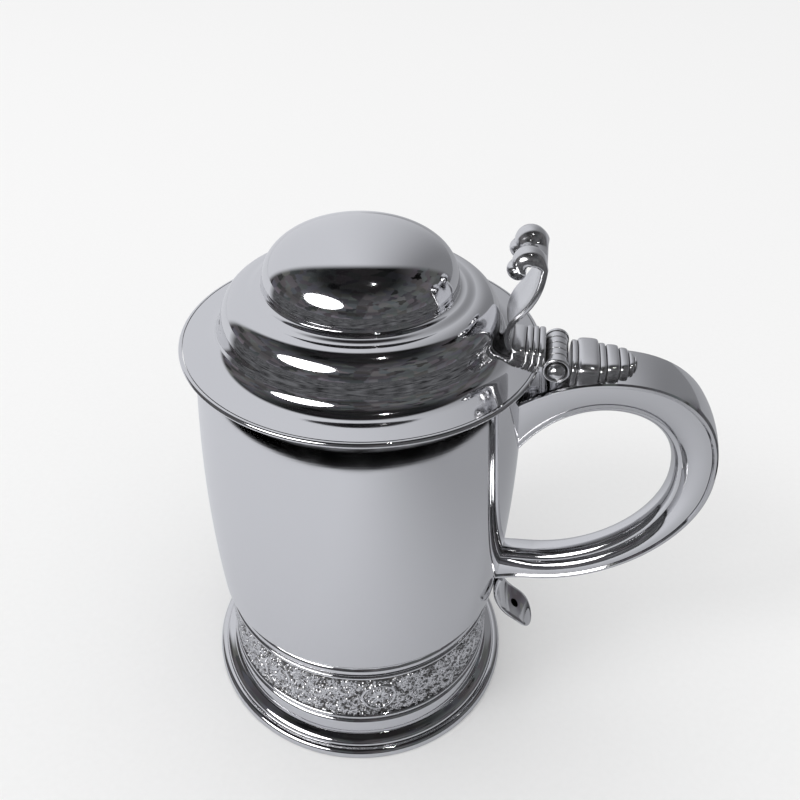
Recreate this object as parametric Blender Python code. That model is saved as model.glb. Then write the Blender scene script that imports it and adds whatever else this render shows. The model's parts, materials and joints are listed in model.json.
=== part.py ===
"""A lidded pewter tankard. The bellied drum stands on a moulded foot with an ornament band, a strap
handle arches out to +X, and a domed lid with a scrolled thumbpiece swings on a five-knuckle hinge.

The foot's centre is the origin, +Z is up, and the handle is on +X. Pairs of numbers in an outline are
(distance from the axis, height), and every number without a name is a multiple of the lid's radius.
"""

import math

import bmesh
import bpy
from mathutils import Matrix, Vector

# Driving dimensions, in metres.
RADIUS = 0.060
AIR = 0.0003

# Everything below is in multiples of RADIUS.
GAP = AIR / RADIUS
WALL = 0.025
FACETS = 40
HINGE_FACETS = 16
CURVE_STEPS = 4

# The drum.
BELLY_RADIUS = 0.962
BELLY_HEIGHT = 1.60
BELLY_CURVE = 0.05
DRUM_BOTTOM = 0.805
DRUM_TOP = 2.55
MOUTH_TOP = 2.59
BORE_RADIUS = 0.895
TURN_IN = 0.035
MOUTH_LIP = 0.006

# The foot, from the table up. Each ring starts one gap above the top of the one below it.
RIM_WIRE_TOP = 0.058
FLANGE_TOP = 0.112
SHOULDER_TOP = 0.228
LOWER_WIRE_TOP = 0.270
BAND_TOP = 0.655
UPPER_WIRE_TOP = 0.690
NECK_TOP = 0.772
FLOOR_TOP = DRUM_BOTTOM - GAP
FOOT_RADIUS = 1.037
RIM_ROUND = 0.037
FLANGE_CURVE = ((0.930, FLANGE_TOP), (0.955, 0.098), (0.985, 0.092), (0.990, RIM_WIRE_TOP + GAP))
SHOULDER_RADIUS = 0.915
SHOULDER_TAPER = 0.012
SHOULDER_ROUND = 0.032
BAND_RADIUS = 0.885
WIRE_RADIUS = 0.907
FOOT_BORE = 0.860
RIM_BORE = 0.985
BASE_THICKNESS = 0.030

# The lid. The cover's outline runs from the dome's top out to the brim, as cubic curves end to end.
COVER_CURVES = (
    (0.0, 3.244), (0.30, 3.244), (0.53, 3.148),
    (0.53, 2.95), (0.53, 2.938), (0.538, 2.932),
    (0.565, 2.93), (0.58, 2.929), (0.60, 2.915),
    (0.62, 2.915), (0.70, 2.912), (0.755, 2.85),
    (0.765, 2.75), (0.772, 2.69), (0.80, 2.65),
    (0.875, 2.643),
)
BRIM_EDGE = (0.975, 2.630)
LID_WIRE = 0.015
BEZEL_RADIUS = 0.875
BEZEL_BOTTOM = 2.50

# The hinge lies along Y, behind the lid's edge.
PIVOT = (1.075, 2.615)
KNUCKLE_RADIUS = 0.064
KNUCKLE_PITCH = 0.058
PIN_RADIUS = 0.020
CAP_RADIUS = 0.076
CAP_LENGTH = 0.025
CAP_RING = 0.008
CAP_BALL = 0.044
KNUCKLE_CHAMFER = 0.006

# The handle's outline seen from the side: the strap's outer face, then the grip side under it.
STRAP_CURVES = (
    (0.90, 2.375), (1.09, 2.53), (1.28, 2.585),
    (1.46, 2.585), (1.82, 2.585), (2.015, 2.34),
    (2.015, 1.95), (2.015, 1.55), (1.65, 1.07),
    (1.15, 0.99), (1.07, 0.975), (0.99, 0.94),
    (0.90, 0.90),
)
GRIP_CURVES = (
    (0.90, 1.86), (1.02, 2.15), (1.22, 2.32),
    (1.45, 2.32), (1.68, 2.32), (1.815, 2.14),
    (1.815, 1.87), (1.815, 1.54), (1.52, 1.21),
    (1.15, 1.15), (1.07, 1.14), (0.98, 1.13),
    (0.90, 1.12),
)
STRAP_WIDTH_TOP = 0.190
STRAP_WIDTH_BOTTOM = 0.125
STRAP_THICKNESS = 0.030
STRAP_CROWN = 0.015
GRIP_WIDTH = 0.085
GRIP_ROUND = 0.050
GRIP_RECESS = 0.012

TERMINAL_CURVES = (
    (0.970, 0.890), (0.915, 0.75), (0.98, 0.63),
    (1.09, 0.56), (1.15, 0.52), (1.19, 0.48), (1.215, 0.435),
)
TERMINAL_WIDTH = 0.120
TERMINAL_THICKNESS = 0.050
VENT_RADIUS = 0.028

# Ribbed plates each side of the hinge, half-width across Y. Each rib shrinks by RIB_RATIO.
HANDLE_PLATE_START = 1.148
HANDLE_PLATE_HEIGHTS = (2.675, 2.638)
HANDLE_PLATE_WIDTH = 0.170
FIRST_RIB = 0.036
BIG_RIB = 0.095
SMALL_RIB = 0.064
RIB_RATIO = 0.80
SMALL_RIBS = 5
LID_PLATE_ENDS = (0.885, 0.998)
LID_PLATE_HEIGHTS = (2.700, 2.695)
LID_PLATE_WIDTH = 0.140
LID_RIBS = 3
HANDLE_PLATE_BASE = 2.53
LID_PLATE_BASE = 2.645
PLATE_SKIRT = 0.10
PLATE_TAPER = 0.75
RIB_RISE = 0.016
RIB_STEPS = 4
ARCH_STEPS = 8
ARCH_POWER = 0.35

THUMB_CURVES = (
    (0.865, 2.63), (0.80, 2.70), (0.775, 2.80),
    (0.825, 2.89), (0.87, 2.965), (0.93, 3.03),
    (0.93, 3.12), (0.93, 3.21), (0.89, 3.265), (0.83, 3.27),
)
THUMB_THICKNESS = 0.045
THUMB_WIDTH_BASE = 0.105
THUMB_WIDTH_TOP = 0.165
LOBE_CENTRE = (0.825, 3.205)
LOBE_RADIUS = 0.080
LOBE_OFFSET = 0.105
LOBE_HALF_LENGTH = 0.090


def clear_scene():
    for obj in list(bpy.data.objects):
        bpy.data.objects.remove(obj, do_unlink=True)


def metal(name, roughness):
    """Grey white metal for one sub-part."""
    material = bpy.data.materials.new(name)
    material.use_nodes = True
    shader = material.node_tree.nodes["Principled BSDF"]
    shader.inputs["Base Color"].default_value = (0.66, 0.66, 0.68, 1.0)
    shader.inputs["Metallic"].default_value = 1.0
    shader.inputs["Roughness"].default_value = roughness
    return material


def add_object(name, shape, roughness=0.12):
    """Turns a bmesh in multiples of RADIUS into a smooth-shaded object in metres."""
    bmesh.ops.recalc_face_normals(shape, faces=shape.faces[:])
    bmesh.ops.scale(shape, vec=Vector((RADIUS, RADIUS, RADIUS)), verts=shape.verts[:])
    mesh = bpy.data.meshes.new(name)
    shape.to_mesh(mesh)
    shape.free()
    mesh.shade_smooth()
    mesh.set_sharp_from_angle(angle=math.radians(35))
    mesh.materials.append(metal(name, roughness))
    obj = bpy.data.objects.new(name, mesh)
    bpy.context.scene.collection.objects.link(obj)
    return obj


def make_cutter(obj):
    """Keeps a shape in the file as a cutter only."""
    obj.hide_render = True
    obj.display_type = "WIRE"
    return obj


def apply_boolean(obj, other, operation):
    cut = obj.modifiers.new(other.name, "BOOLEAN")
    cut.operation = operation
    cut.solver = "EXACT"
    cut.object = other


def curve_points(controls, steps=CURVE_STEPS):
    """Points along cubic curves joined end to end. Each curve takes three control points and the next."""
    points = []
    for start in range(0, len(controls) - 1, 3):
        a, b, c, d = (Vector(point) for point in controls[start:start + 4])
        for step in range(steps):
            t = step / steps
            s = 1 - t
            points.append(a * s**3 + b * 3 * s * s * t + c * 3 * s * t * t + d * t**3)
    points.append(Vector(controls[-1]))
    return points


def arc_points(centre, radius, start, end, steps):
    """Points on a round stretch of outline, in degrees from +X."""
    points = []
    for step in range(steps + 1):
        angle = math.radians(start + (end - start) * step / steps)
        points.append(Vector((centre[0] + radius * math.cos(angle), centre[1] + radius * math.sin(angle))))
    return points


def normals_of(points):
    """Unit normals of a line of points, on the left-hand side of its direction."""
    normals = []
    for index in range(len(points)):
        before = points[max(index - 1, 0)]
        after = points[min(index + 1, len(points) - 1)]
        along = (after - before).normalized()
        normals.append(Vector((-along.y, along.x)))
    return normals


def offset_points(points, distance):
    """The line moved sideways, to its left when the distance is positive."""
    return [point + normal * distance for point, normal in zip(points, normals_of(points))]


def turned(name, outline, roughness=0.12, facets=FACETS):
    """A solid of revolution about Z, from an outline that is closed or that starts and ends on the axis."""
    shape = bmesh.new()
    verts = [shape.verts.new((point[0], 0.0, point[1])) for point in outline]
    on_axis = outline[0][0] == 0.0
    pairs = zip(verts, verts[1:] if on_axis else verts[1:] + verts[:1])
    edges = [shape.edges.new(pair) for pair in pairs]
    bmesh.ops.spin(
        shape, geom=verts + edges, axis=(0, 0, 1), cent=(0, 0, 0),
        angle=2 * math.pi, steps=facets, use_merge=True,
    )
    bmesh.ops.remove_doubles(shape, verts=shape.verts[:], dist=1e-6)
    return add_object(name, shape, roughness)


def lofted_shape(sections):
    """A closed solid through a row of sections that all have the same number of points."""
    shape = bmesh.new()
    rings = [[shape.verts.new(point) for point in section] for section in sections]
    count = len(rings[0])
    for ring, following in zip(rings, rings[1:]):
        for index in range(count):
            other = (index + 1) % count
            shape.faces.new((ring[index], ring[other], following[other], following[index]))
    shape.faces.new(rings[0])
    shape.faces.new(reversed(rings[-1]))
    return shape


def ring_outline(outer, inner_radius):
    """Closes an outer outline, given from top to bottom, with a straight bore."""
    return [*outer, Vector((inner_radius, outer[-1][1])), Vector((inner_radius, outer[0][1]))]


def wire_outline(radius, inner_radius, bottom, top):
    """A ring with a half-round outer edge."""
    half = (top - bottom) / 2
    bead = arc_points((radius - half, bottom + half), half, 90, -90, 4)
    return ring_outline(bead, inner_radius)


def belly(height):
    """The drum's outer radius at a height."""
    return BELLY_RADIUS - BELLY_CURVE * (height - BELLY_HEIGHT) ** 2


def drum_side(grow=0.0):
    """The drum's outer outline from top to bottom, turned in at the bottom edge."""
    side_bottom = DRUM_BOTTOM + TURN_IN
    steps = 6
    points = []
    for step in range(steps + 1):
        height = DRUM_TOP + (side_bottom - DRUM_TOP) * step / steps
        points.append(Vector((belly(height) + grow, height)))
    centre = (belly(side_bottom) + grow - TURN_IN, side_bottom)
    return points + arc_points(centre, TURN_IN, 0, -80, 3)[1:]


def build_drum():
    outer = drum_side()
    inner = [Vector((point[0] - WALL, point[1])) for point in reversed(outer)]
    turned("body_drum", outer + inner, 0.08)


def build_mouth_wire():
    radius = belly(MOUTH_TOP) + MOUTH_LIP
    turned("mouth_wire", wire_outline(radius, BORE_RADIUS, DRUM_TOP + GAP, MOUTH_TOP))


def build_floor():
    """The drum's floor is a disc under the bottom edge of its wall."""
    radius = belly(DRUM_BOTTOM) - WALL
    bottom = NECK_TOP + GAP
    turned("body_floor", [(0.0, FLOOR_TOP), (radius, FLOOR_TOP), (radius, bottom), (0.0, bottom)])


def build_foot():
    rim_arc = arc_points((FOOT_RADIUS - RIM_ROUND, RIM_WIRE_TOP - RIM_ROUND), RIM_ROUND, 90, 0, 4)
    turned("foot_rim_wire", ring_outline([*rim_arc, Vector((FOOT_RADIUS, 0.0))], RIM_BORE))
    plate_edge = RIM_BORE - GAP
    plate = [(0.0, BASE_THICKNESS), (plate_edge, BASE_THICKNESS), (plate_edge, 0.0), (0.0, 0.0)]
    turned("foot_base_plate", plate)

    turned("foot_flange", ring_outline(curve_points(FLANGE_CURVE, 5), FOOT_BORE))
    round_centre = (SHOULDER_RADIUS - SHOULDER_ROUND, SHOULDER_TOP - SHOULDER_ROUND)
    shoulder = arc_points(round_centre, SHOULDER_ROUND, 90, 0, 4)
    shoulder.append(Vector((SHOULDER_RADIUS + SHOULDER_TAPER, FLANGE_TOP + GAP)))
    turned("foot_shoulder_ring", ring_outline(shoulder, FOOT_BORE))

    lower_wire = wire_outline(WIRE_RADIUS, FOOT_BORE, SHOULDER_TOP + GAP, LOWER_WIRE_TOP)
    turned("band_lower_wire", lower_wire)
    band = [Vector((BAND_RADIUS, BAND_TOP)), Vector((BAND_RADIUS, LOWER_WIRE_TOP + GAP))]
    turned("ornament_band", ring_outline(band, FOOT_BORE), 0.3)
    upper_wire = wire_outline(WIRE_RADIUS, FOOT_BORE, BAND_TOP + GAP, UPPER_WIRE_TOP)
    turned("band_upper_wire", upper_wire)

    neck_bottom = UPPER_WIRE_TOP + GAP
    half = (NECK_TOP - neck_bottom) / 2
    bulge = arc_points((WIRE_RADIUS - half, neck_bottom + half), half, 70, -90, 4)
    turned("foot_neck_ring", ring_outline(bulge, FOOT_BORE))


def cover_outline():
    """The cover's outer outline, from the dome's top to the edge of the brim."""
    return curve_points(COVER_CURVES) + [Vector(BRIM_EDGE)]


def build_lid_cover():
    outer = cover_outline()
    inner = offset_points(outer, -WALL)
    inner[0].x = 0.0
    inner[-1].x = BRIM_EDGE[0]
    return turned("lid_cover", outer + inner[::-1], 0.05)


def build_lid_rings():
    bottom = BRIM_EDGE[1] - WALL - GAP
    outline = wire_outline(1.0, BRIM_EDGE[0] + GAP, bottom, bottom + 2 * LID_WIRE)
    rim_wire = turned("lid_rim_wire", outline)
    bezel_top = BRIM_EDGE[1] - WALL
    bezel = [Vector((BEZEL_RADIUS, bezel_top)), Vector((BEZEL_RADIUS, BEZEL_BOTTOM))]
    return [rim_wire, turned("lid_bezel", ring_outline(bezel, BEZEL_RADIUS - WALL))]


def on_hinge_line(obj, offset):
    """Lays a piece turned about Z along the hinge, this far from its middle."""
    obj.matrix_world = Matrix.Translation(
        (PIVOT[0] * RADIUS, offset * RADIUS, PIVOT[1] * RADIUS)
    ) @ Matrix.Rotation(math.radians(-90), 4, "X")
    return obj


def build_knuckles():
    """Five knuckles in turn: handle, lid, handle, lid, handle. It returns the lid's."""
    half = (KNUCKLE_PITCH - GAP) / 2
    end_radius = KNUCKLE_RADIUS - KNUCKLE_CHAMFER
    side_end = half - KNUCKLE_CHAMFER
    side = [(end_radius, half), (KNUCKLE_RADIUS, side_end), (KNUCKLE_RADIUS, -side_end), (end_radius, -half)]
    outline = ring_outline([Vector(point) for point in side], PIN_RADIUS + GAP)
    names = (
        "handle_knuckle_1", "lid_knuckle_1", "handle_knuckle_2", "lid_knuckle_2", "handle_knuckle_3",
    )
    lid_knuckles = []
    for index, name in enumerate(names):
        offset = (index - (len(names) - 1) / 2) * KNUCKLE_PITCH
        knuckle = on_hinge_line(turned(name, outline, facets=HINGE_FACETS), offset)
        if name.startswith("lid"):
            lid_knuckles.append(knuckle)
    return lid_knuckles


def build_pin_and_caps():
    """The pin runs inside all five knuckles, and a ringed cap with a ball closes each end."""
    barrel_half = 2.5 * KNUCKLE_PITCH
    half = barrel_half - 2 * GAP
    pin = [(0.0, half), (PIN_RADIUS, half), (PIN_RADIUS, -half), (0.0, -half)]
    on_hinge_line(turned("hinge_pin", pin, facets=HINGE_FACETS), 0.0)

    seat = CAP_LENGTH - CAP_RING
    ball = arc_points((0.0, seat), CAP_BALL, 90, 0, 4)
    ball[0].x = 0.0
    rim = arc_points((CAP_RADIUS - CAP_RING, seat), CAP_RING, 150, 0, 3)
    outline = [*ball[:-1], Vector((CAP_BALL, seat)), *rim, Vector((CAP_RADIUS, 0.0)), Vector((0.0, 0.0))]
    left = on_hinge_line(turned("hinge_cap_left", outline, facets=HINGE_FACETS), barrel_half)
    right = on_hinge_line(turned("hinge_cap_right", outline, facets=HINGE_FACETS), -barrel_half)
    right.matrix_world = right.matrix_world @ Matrix.Rotation(math.pi, 4, "X")
    return left, right


def handle_stations():
    """For each step along the handle: the strap's outer point, the way in to the grip, depth and width."""
    strap = curve_points(STRAP_CURVES, 7)
    grip = curve_points(GRIP_CURVES, 7)
    stations = []
    for index, (outer, inner) in enumerate(zip(strap, grip)):
        share = index / (len(strap) - 1)
        width = STRAP_WIDTH_TOP + (STRAP_WIDTH_BOTTOM - STRAP_WIDTH_TOP) * share
        inwards = inner - outer
        stations.append((outer, inwards.normalized(), inwards.length, width))
    return stations


def placed(outer, inwards, across, depth):
    """A point of a handle section, this far across Y and this deep under the strap's outer face."""
    point = outer + inwards * depth
    return Vector((point.x, across, point.y))


def strap_section(station, grow=0.0, thickness=STRAP_THICKNESS):
    outer, inwards, _, width = station
    half = width + grow
    points = []
    for step in range(7):
        across = half * (1 - step / 3)
        crown = STRAP_CROWN * (1 - (across / half) ** 2)
        points.append(placed(outer, inwards, across, -crown - grow))
    points.append(placed(outer, inwards, -half, thickness))
    points.append(placed(outer, inwards, half, thickness))
    return points


def shell_section(station):
    """A deep U: sides that lean in from the strap to a round grip edge."""
    outer, inwards, depth, width = station
    top = STRAP_THICKNESS + GAP
    half = width - GRIP_RECESS
    shoulder = Vector((half, top))
    bend = Vector((half * 0.97, top + 0.5 * (depth - top)))
    side_end = Vector((GRIP_WIDTH, depth - GRIP_ROUND))
    side = []
    for step in range(4):
        t = step / 4
        side.append(shoulder * (1 - t) ** 2 + bend * 2 * t * (1 - t) + side_end * t * t)
    grip = [
        Vector((point.x * GRIP_WIDTH, depth - GRIP_ROUND + point.y * GRIP_ROUND))
        for point in arc_points((0.0, 0.0), 1.0, 0, 180, 6)
    ]
    mirrored = [Vector((-point.x, point.y)) for point in reversed(side)]
    return [placed(outer, inwards, point.x, point.y) for point in side + grip + mirrored]


def build_handle(cut_body):
    stations = handle_stations()
    strap = add_object("handle_strap", lofted_shape([strap_section(station) for station in stations]))
    shell = add_object("handle_shell", lofted_shape([shell_section(station) for station in stations]))
    apply_boolean(strap, cut_body, "DIFFERENCE")
    apply_boolean(shell, cut_body, "DIFFERENCE")


def ribbon_sections(path, widths, thicknesses):
    """Rounded bars across Y at each point of a side outline."""
    sections = []
    for point, normal, width, thickness in zip(path, normals_of(path), widths, thicknesses):
        half = thickness / 2
        corners = (
            (width, 0.0), (width - half * 0.6, half * 0.8), (0.0, half),
            (half * 0.6 - width, half * 0.8), (-width, 0.0), (half * 0.6 - width, -half * 0.8),
            (0.0, -half), (width - half * 0.6, -half * 0.8),
        )
        section = []
        for across, lift in corners:
            moved = point + normal * lift
            section.append(Vector((moved.x, across, moved.y)))
        sections.append(section)
    return sections


def build_terminal(cut_body):
    """The handle's lower end is a leaf that curls away from the foot, with a vent hole in its face."""
    path = curve_points(TERMINAL_CURVES, 9)
    last = len(path) - 1
    widths = []
    thicknesses = []
    for index in range(len(path)):
        share = index / last
        leaf = 0.70 + 0.55 * math.sin(math.pi * min(share / 0.75, 1.0) * 0.5)
        tip = math.sqrt(max(1 - max(share - 0.62, 0.0) ** 2 / 0.38**2, 0.06))
        widths.append(TERMINAL_WIDTH * min(leaf, 1.0) * tip)
        thicknesses.append(TERMINAL_THICKNESS * (1 - 0.45 * share))
    terminal = add_object("handle_terminal", lofted_shape(ribbon_sections(path, widths, thicknesses)))
    apply_boolean(terminal, cut_body, "DIFFERENCE")

    vent = last // 2
    normal = normals_of(path)[vent]
    mouth = path[vent] + normal * TERMINAL_THICKNESS
    drill = bmesh.new()
    bmesh.ops.create_cone(
        drill, cap_ends=True, segments=20, radius1=VENT_RADIUS, radius2=VENT_RADIUS,
        depth=2 * TERMINAL_THICKNESS,
    )
    lean = Vector((0, 0, 1)).rotation_difference(Vector((normal.x, 0, normal.y))).to_matrix()
    bmesh.ops.transform(
        drill, matrix=Matrix.Translation((mouth.x, 0, mouth.y)) @ lean.to_4x4(), verts=drill.verts[:]
    )
    apply_boolean(terminal, make_cutter(add_object("cut_vent", drill)), "DIFFERENCE")


def arch_section(along, half_width, base, top):
    """A square-shouldered arch across Y. Its flat bottom lies a skirt's depth under the base."""
    points = []
    for step in range(ARCH_STEPS + 1):
        angle = math.pi * step / ARCH_STEPS
        across = half_width * math.cos(angle)
        lift = max(math.sin(angle), 0.0) ** ARCH_POWER
        points.append(Vector((along, across, base + (top - base) * lift)))
    bottom = base - PLATE_SKIRT
    return [*points, Vector((along, -half_width, bottom)), Vector((along, half_width, bottom))]


def ribbed_plate(name, start, ribs, heights, half_width, base, taper):
    """Ribs laid one after the other along X, each a bulge across Y.

    The first and last sections sit a little inside the end ribs, so that no end is a knife edge.
    """
    total = sum(ribs)
    sections = []
    along = start
    for rib in ribs:
        for step in range(RIB_STEPS):
            bulge = math.sin(math.pi * (step + 0.25) / (RIB_STEPS - 0.5))
            place = along + rib * (step + 0.25) / RIB_STEPS
            share = (place - start) / total
            ridge = heights[0] + (heights[1] - heights[0]) * share
            width = half_width * (1 - taper * share**2)
            narrow = width - 0.5 * RIB_RISE * (1 - bulge)
            sections.append(arch_section(place, narrow, base, ridge - RIB_RISE * (1 - bulge)))
        along += rib
    return add_object(name, lofted_shape(sections))


def build_handle_plate():
    ribs = [FIRST_RIB, BIG_RIB] + [SMALL_RIB * RIB_RATIO**index for index in range(SMALL_RIBS)]
    plate = ribbed_plate(
        "handle_rib_plate", HANDLE_PLATE_START, ribs, HANDLE_PLATE_HEIGHTS, HANDLE_PLATE_WIDTH,
        HANDLE_PLATE_BASE, PLATE_TAPER,
    )
    upper_half = handle_stations()[:len(handle_stations()) // 2]
    sections = [strap_section(station, GAP, 2 * PLATE_SKIRT) for station in upper_half]
    cutter = make_cutter(add_object("cut_strap", lofted_shape(sections)))
    apply_boolean(plate, cutter, "DIFFERENCE")


def build_lid_plate(cut_lid):
    start, end = LID_PLATE_ENDS
    ribs = [(end - start) / LID_RIBS] * LID_RIBS
    plate = ribbed_plate(
        "lid_rib_plate", start, ribs, LID_PLATE_HEIGHTS, LID_PLATE_WIDTH, LID_PLATE_BASE, 0.0
    )
    apply_boolean(plate, cut_lid, "DIFFERENCE")
    return plate


def add_lobe(side):
    """One rolled end of the thumbpiece."""
    lobe = bmesh.new()
    bmesh.ops.create_uvsphere(lobe, u_segments=16, v_segments=8, radius=1.0)
    size = Matrix.Diagonal((LOBE_RADIUS, LOBE_RADIUS, LOBE_HALF_LENGTH, 1.0))
    lay = Matrix.Rotation(math.radians(90), 4, "X")
    place = Matrix.Translation((LOBE_CENTRE[0], side * LOBE_OFFSET, LOBE_CENTRE[1]))
    bmesh.ops.transform(lobe, matrix=place @ lay @ size, verts=lobe.verts[:])
    return make_cutter(add_object("roll_left" if side > 0 else "roll_right", lobe))


def build_thumbpiece(cut_lid):
    """An S-curved ribbon that rises off the brim and rolls over into two lobes."""
    path = curve_points(THUMB_CURVES, 6)
    last = len(path) - 1
    widths = []
    for index in range(len(path)):
        share = math.sin(0.5 * math.pi * min(1.6 * index / last, 1.0))
        widths.append(THUMB_WIDTH_BASE + (THUMB_WIDTH_TOP - THUMB_WIDTH_BASE) * share)
    thicknesses = [THUMB_THICKNESS] * len(path)
    thumb = add_object("thumbpiece", lofted_shape(ribbon_sections(path, widths, thicknesses)))
    apply_boolean(thumb, cut_lid, "DIFFERENCE")
    apply_boolean(thumb, add_lobe(1), "UNION")
    apply_boolean(thumb, add_lobe(-1), "UNION")
    return thumb


def build_body_cutter():
    """The drum and foot grown by one gap, for pieces that end against them."""
    side = drum_side(GAP)
    foot = [Vector((WIRE_RADIUS + GAP, DRUM_BOTTOM)), Vector((WIRE_RADIUS + GAP, SHOULDER_TOP))]
    outline = [Vector((0.0, DRUM_TOP)), *side, *foot, Vector((0.0, SHOULDER_TOP))]
    return make_cutter(turned("cut_body", outline))


def build_lid_cutter():
    """The lid cover grown by one gap, for pieces that stand on it. It goes out past them and below them."""
    outer = offset_points(cover_outline(), GAP)
    outer[0].x = 0.0
    bottom = BEZEL_BOTTOM
    edge = [Vector((PIVOT[0], outer[-1].y)), Vector((PIVOT[0], bottom)), Vector((0.0, bottom))]
    return make_cutter(turned("cut_lid", outer + edge))


def hang_lid(pieces):
    """Parents the lid's pieces to an empty on the hinge's axis, without moving them."""
    pivot = bpy.data.objects.new("lid_pivot", None)
    pivot.location = (PIVOT[0] * RADIUS, 0.0, PIVOT[1] * RADIUS)
    bpy.context.scene.collection.objects.link(pivot)
    for piece in pieces:
        piece.parent = pivot
        piece.matrix_parent_inverse = Matrix.Translation(-pivot.location)


def main():
    clear_scene()
    cut_body = build_body_cutter()
    cut_lid = build_lid_cutter()
    build_drum()
    build_mouth_wire()
    build_floor()
    build_foot()
    build_handle(cut_body)
    build_terminal(cut_body)
    build_handle_plate()
    build_pin_and_caps()
    lid_pieces = [build_lid_cover(), *build_lid_rings(), *build_knuckles()]
    lid_pieces += [build_lid_plate(cut_lid), build_thumbpiece(cut_lid)]
    hang_lid(lid_pieces)


main()
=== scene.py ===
"""Looks for the lidded tankard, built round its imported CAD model.

The foot's centre is the origin, +Z is up and the handle is on +X. Pairs of numbers in an outline are
(distance from the axis, height), and every length without a unit is a multiple of the lid's radius.
"""

import json
import math

import bmesh
import bpy
import numpy as np
from mathutils import Matrix, Vector

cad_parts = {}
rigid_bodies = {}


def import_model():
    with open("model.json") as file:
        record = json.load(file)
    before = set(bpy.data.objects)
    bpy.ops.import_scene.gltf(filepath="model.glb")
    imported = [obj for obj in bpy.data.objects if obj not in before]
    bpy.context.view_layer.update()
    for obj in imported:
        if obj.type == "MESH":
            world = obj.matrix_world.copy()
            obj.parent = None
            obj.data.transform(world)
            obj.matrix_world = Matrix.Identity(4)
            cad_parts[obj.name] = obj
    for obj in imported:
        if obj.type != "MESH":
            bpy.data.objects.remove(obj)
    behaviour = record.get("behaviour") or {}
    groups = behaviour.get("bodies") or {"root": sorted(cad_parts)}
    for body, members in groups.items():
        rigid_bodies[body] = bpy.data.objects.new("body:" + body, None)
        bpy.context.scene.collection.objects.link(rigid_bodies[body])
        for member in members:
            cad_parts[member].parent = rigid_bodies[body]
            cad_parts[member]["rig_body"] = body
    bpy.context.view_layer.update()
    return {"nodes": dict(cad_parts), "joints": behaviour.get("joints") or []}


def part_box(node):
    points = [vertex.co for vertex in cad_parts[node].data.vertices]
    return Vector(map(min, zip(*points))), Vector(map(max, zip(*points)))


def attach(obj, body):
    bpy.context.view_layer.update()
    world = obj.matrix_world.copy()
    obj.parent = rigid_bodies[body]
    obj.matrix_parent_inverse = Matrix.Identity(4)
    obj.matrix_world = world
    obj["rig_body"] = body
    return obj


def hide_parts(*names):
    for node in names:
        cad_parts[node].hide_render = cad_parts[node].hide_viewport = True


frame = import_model()

# The lid's radius in metres. All other lengths are multiples of it.
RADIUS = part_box("lid_rim_wire")[1].y


def top(node):
    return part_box(node)[1].z / RADIUS


def bottom(node):
    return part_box(node)[0].z / RADIUS


def reach(node):
    """How far a turned node reaches from the axis."""
    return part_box(node)[1].y / RADIUS


# The gap between neighbouring nodes, the thickness of the sheet metal, and the rounding of its edges.
GAP = bottom("mouth_wire") - top("body_drum")
WALL = 0.025
EDGE = 0.008

# How many facets a turned piece has.
FACETS = 240
HINGE_FACETS = 64

# Inner radii of the rings at the mouth and the foot.
MOUTH_BORE = 0.895
FOOT_BORE = 0.860

# The drum swells by BELLY_CURVE times the square of the height from its widest place.
BELLY_RADIUS = reach("body_drum")
BELLY_HEIGHT = 1.60
BELLY_CURVE = 0.05
TURN_IN = 0.035
DRUM_TOP = top("body_drum")
DRUM_BOTTOM = bottom("body_drum")

# The lid cover's outline from the dome's top out to the brim, as cubic curves end to end.
COVER_CURVES = (
    (0.0, 3.244), (0.30, 3.244), (0.53, 3.148),
    (0.53, 2.95), (0.53, 2.938), (0.538, 2.932),
    (0.565, 2.93), (0.58, 2.929), (0.60, 2.915),
    (0.62, 2.915), (0.70, 2.912), (0.755, 2.85),
    (0.765, 2.75), (0.772, 2.69), (0.80, 2.65),
    (0.875, 2.643),
)
BRIM_EDGE = (reach("lid_cover"), 2.630)

# The hinge's axis lies along Y. Its knuckles have KNUCKLE_RADIUS outside and KNUCKLE_BORE inside.
PIVOT = Vector(frame["joints"][0]["pos_m"]) / RADIUS
KNUCKLE_RADIUS = 0.062
KNUCKLE_BORE = 0.022

# The handle's outline seen from the side: the strap's outer face, then the grip side under it.
STRAP_CURVES = (
    (0.90, 2.375), (1.09, 2.53), (1.28, 2.585),
    (1.46, 2.585), (1.82, 2.585), (2.015, 2.34),
    (2.015, 1.95), (2.015, 1.55), (1.65, 1.07),
    (1.15, 0.99), (1.07, 0.975), (0.99, 0.94),
    (0.90, 0.90),
)
GRIP_CURVES = (
    (0.90, 1.86), (1.02, 2.15), (1.22, 2.32),
    (1.45, 2.32), (1.68, 2.32), (1.815, 2.14),
    (1.815, 1.87), (1.815, 1.54), (1.52, 1.21),
    (1.15, 1.15), (1.07, 1.14), (0.98, 1.13),
    (0.90, 1.12),
)
HANDLE_STEPS = 28
STRAP_WIDTHS = (0.190, 0.125)
STRAP_THICKNESS = 0.030
STRAP_CROWN = 0.015
GRIP_WIDTH = 0.085
GRIP_ROUND = 0.050
GRIP_RECESS = 0.012

# How far the handle's ends reach into the drum's wall.
SEAT = 0.4 * WALL

# The leaf at the handle's lower end, seen from the side, and the vent hole in it.
TERMINAL_CURVES = (
    (0.970, 0.890), (0.915, 0.75), (0.98, 0.63),
    (1.09, 0.56), (1.15, 0.52), (1.19, 0.48), (1.215, 0.435),
)
TERMINAL_WIDTH = 0.130
TERMINAL_THICKNESS = 0.046
VENT_RADIUS = 0.032

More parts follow.
